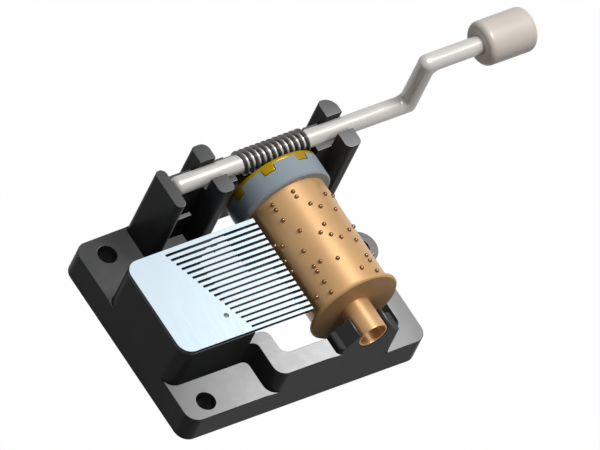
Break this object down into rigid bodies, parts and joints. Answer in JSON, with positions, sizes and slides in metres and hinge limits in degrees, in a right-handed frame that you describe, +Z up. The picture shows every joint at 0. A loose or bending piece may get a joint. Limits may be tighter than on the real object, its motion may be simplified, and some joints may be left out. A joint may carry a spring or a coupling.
{
  "type": "hand crank music box movement",
  "caption": "Hand-cranked music box movement: a bent crank's worm turns a pinned brass cylinder against a tuned steel comb on an open black bed.",
  "frame": {"origin": "midway between the two left-hand mounting holes, on the underside of the bed", "axes": "+X along the crank shaft towards the knob, +Y along the cylinder from its bearing fork towards the worm, +Z up from the surface that the bed is screwed to"},
  "size_m": [0.084, 0.0409, 0.0364],
  "materials": {
    "black_moulding": "moulded, satin",
    "comb_steel": "ground and tempered, pale blue",
    "steel_pin": "drawn",
    "screw_steel": "zinc plated",
    "lead": "dull grey lead",
    "damper_steel": "blued strip",
    "bush_brass": "turned",
    "cylinder_brass": "copper-toned lacquered brass, satin",
    "pin_brass": "bronze-toned, slightly darker",
    "cement": "dark resin cement",
    "hub_grey": "blue-grey, satin",
    "gold_brass": "yellow brass, satin",
    "spindle_steel": "turned and polished",
    "spring_steel": "blackened spring steel",
    "rod_steel": "nickel plated, satin",
    "worm_steel": "rolled thread, dark",
    "knob_grey": "warm grey moulding, satin"
  },
  "bodies": {
    "bed": {"bed_frame": "black_moulding", "comb": "comb_steel", "comb_locating_pin": "steel_pin", "comb_screws": "screw_steel", "comb_weights": "lead", "comb_dampers": "damper_steel", "spindle_bush": "bush_brass"},
    "cylinder": {"cylinder_shell": "cylinder_brass", "melody_pins": "pin_brass", "cement_lining": "cement", "end_flange": "cylinder_brass", "arbor_tube": "cylinder_brass", "hub": "hub_grey", "drive_plate": "gold_brass", "worm_wheel": "gold_brass", "spindle": "spindle_steel", "spindle_clip": "spring_steel"},
    "crank": {"crank_rod": "rod_steel", "worm_thread": "worm_steel", "knob_snap_ring": "spring_steel"},
    "knob": {"knob": "knob_grey"}
  },
  "joints": [
    {"name": "crank_turn", "type": "hinge", "parent": "bed", "child": "crank", "pos_m": [0.03028, 0.0166, 0.02065], "axis": [-1, 0, 0], "continuous": true},
    {"name": "cylinder_turn", "type": "hinge", "parent": "bed", "child": "cylinder", "pos_m": [0.03028, -0.00124, 0.0141], "axis": [0, 1, 0], "continuous": true},
    {"name": "knob_spin", "type": "hinge", "parent": "crank", "child": "knob", "pos_m": [0.06888, 0.0166, 0.03243], "axis": [-1, 0, 0], "continuous": true}
  ],
  "couplings": [
    {"joint": "cylinder_turn", "follows": "crank_turn", "ratio": 0.041667}
  ]
}
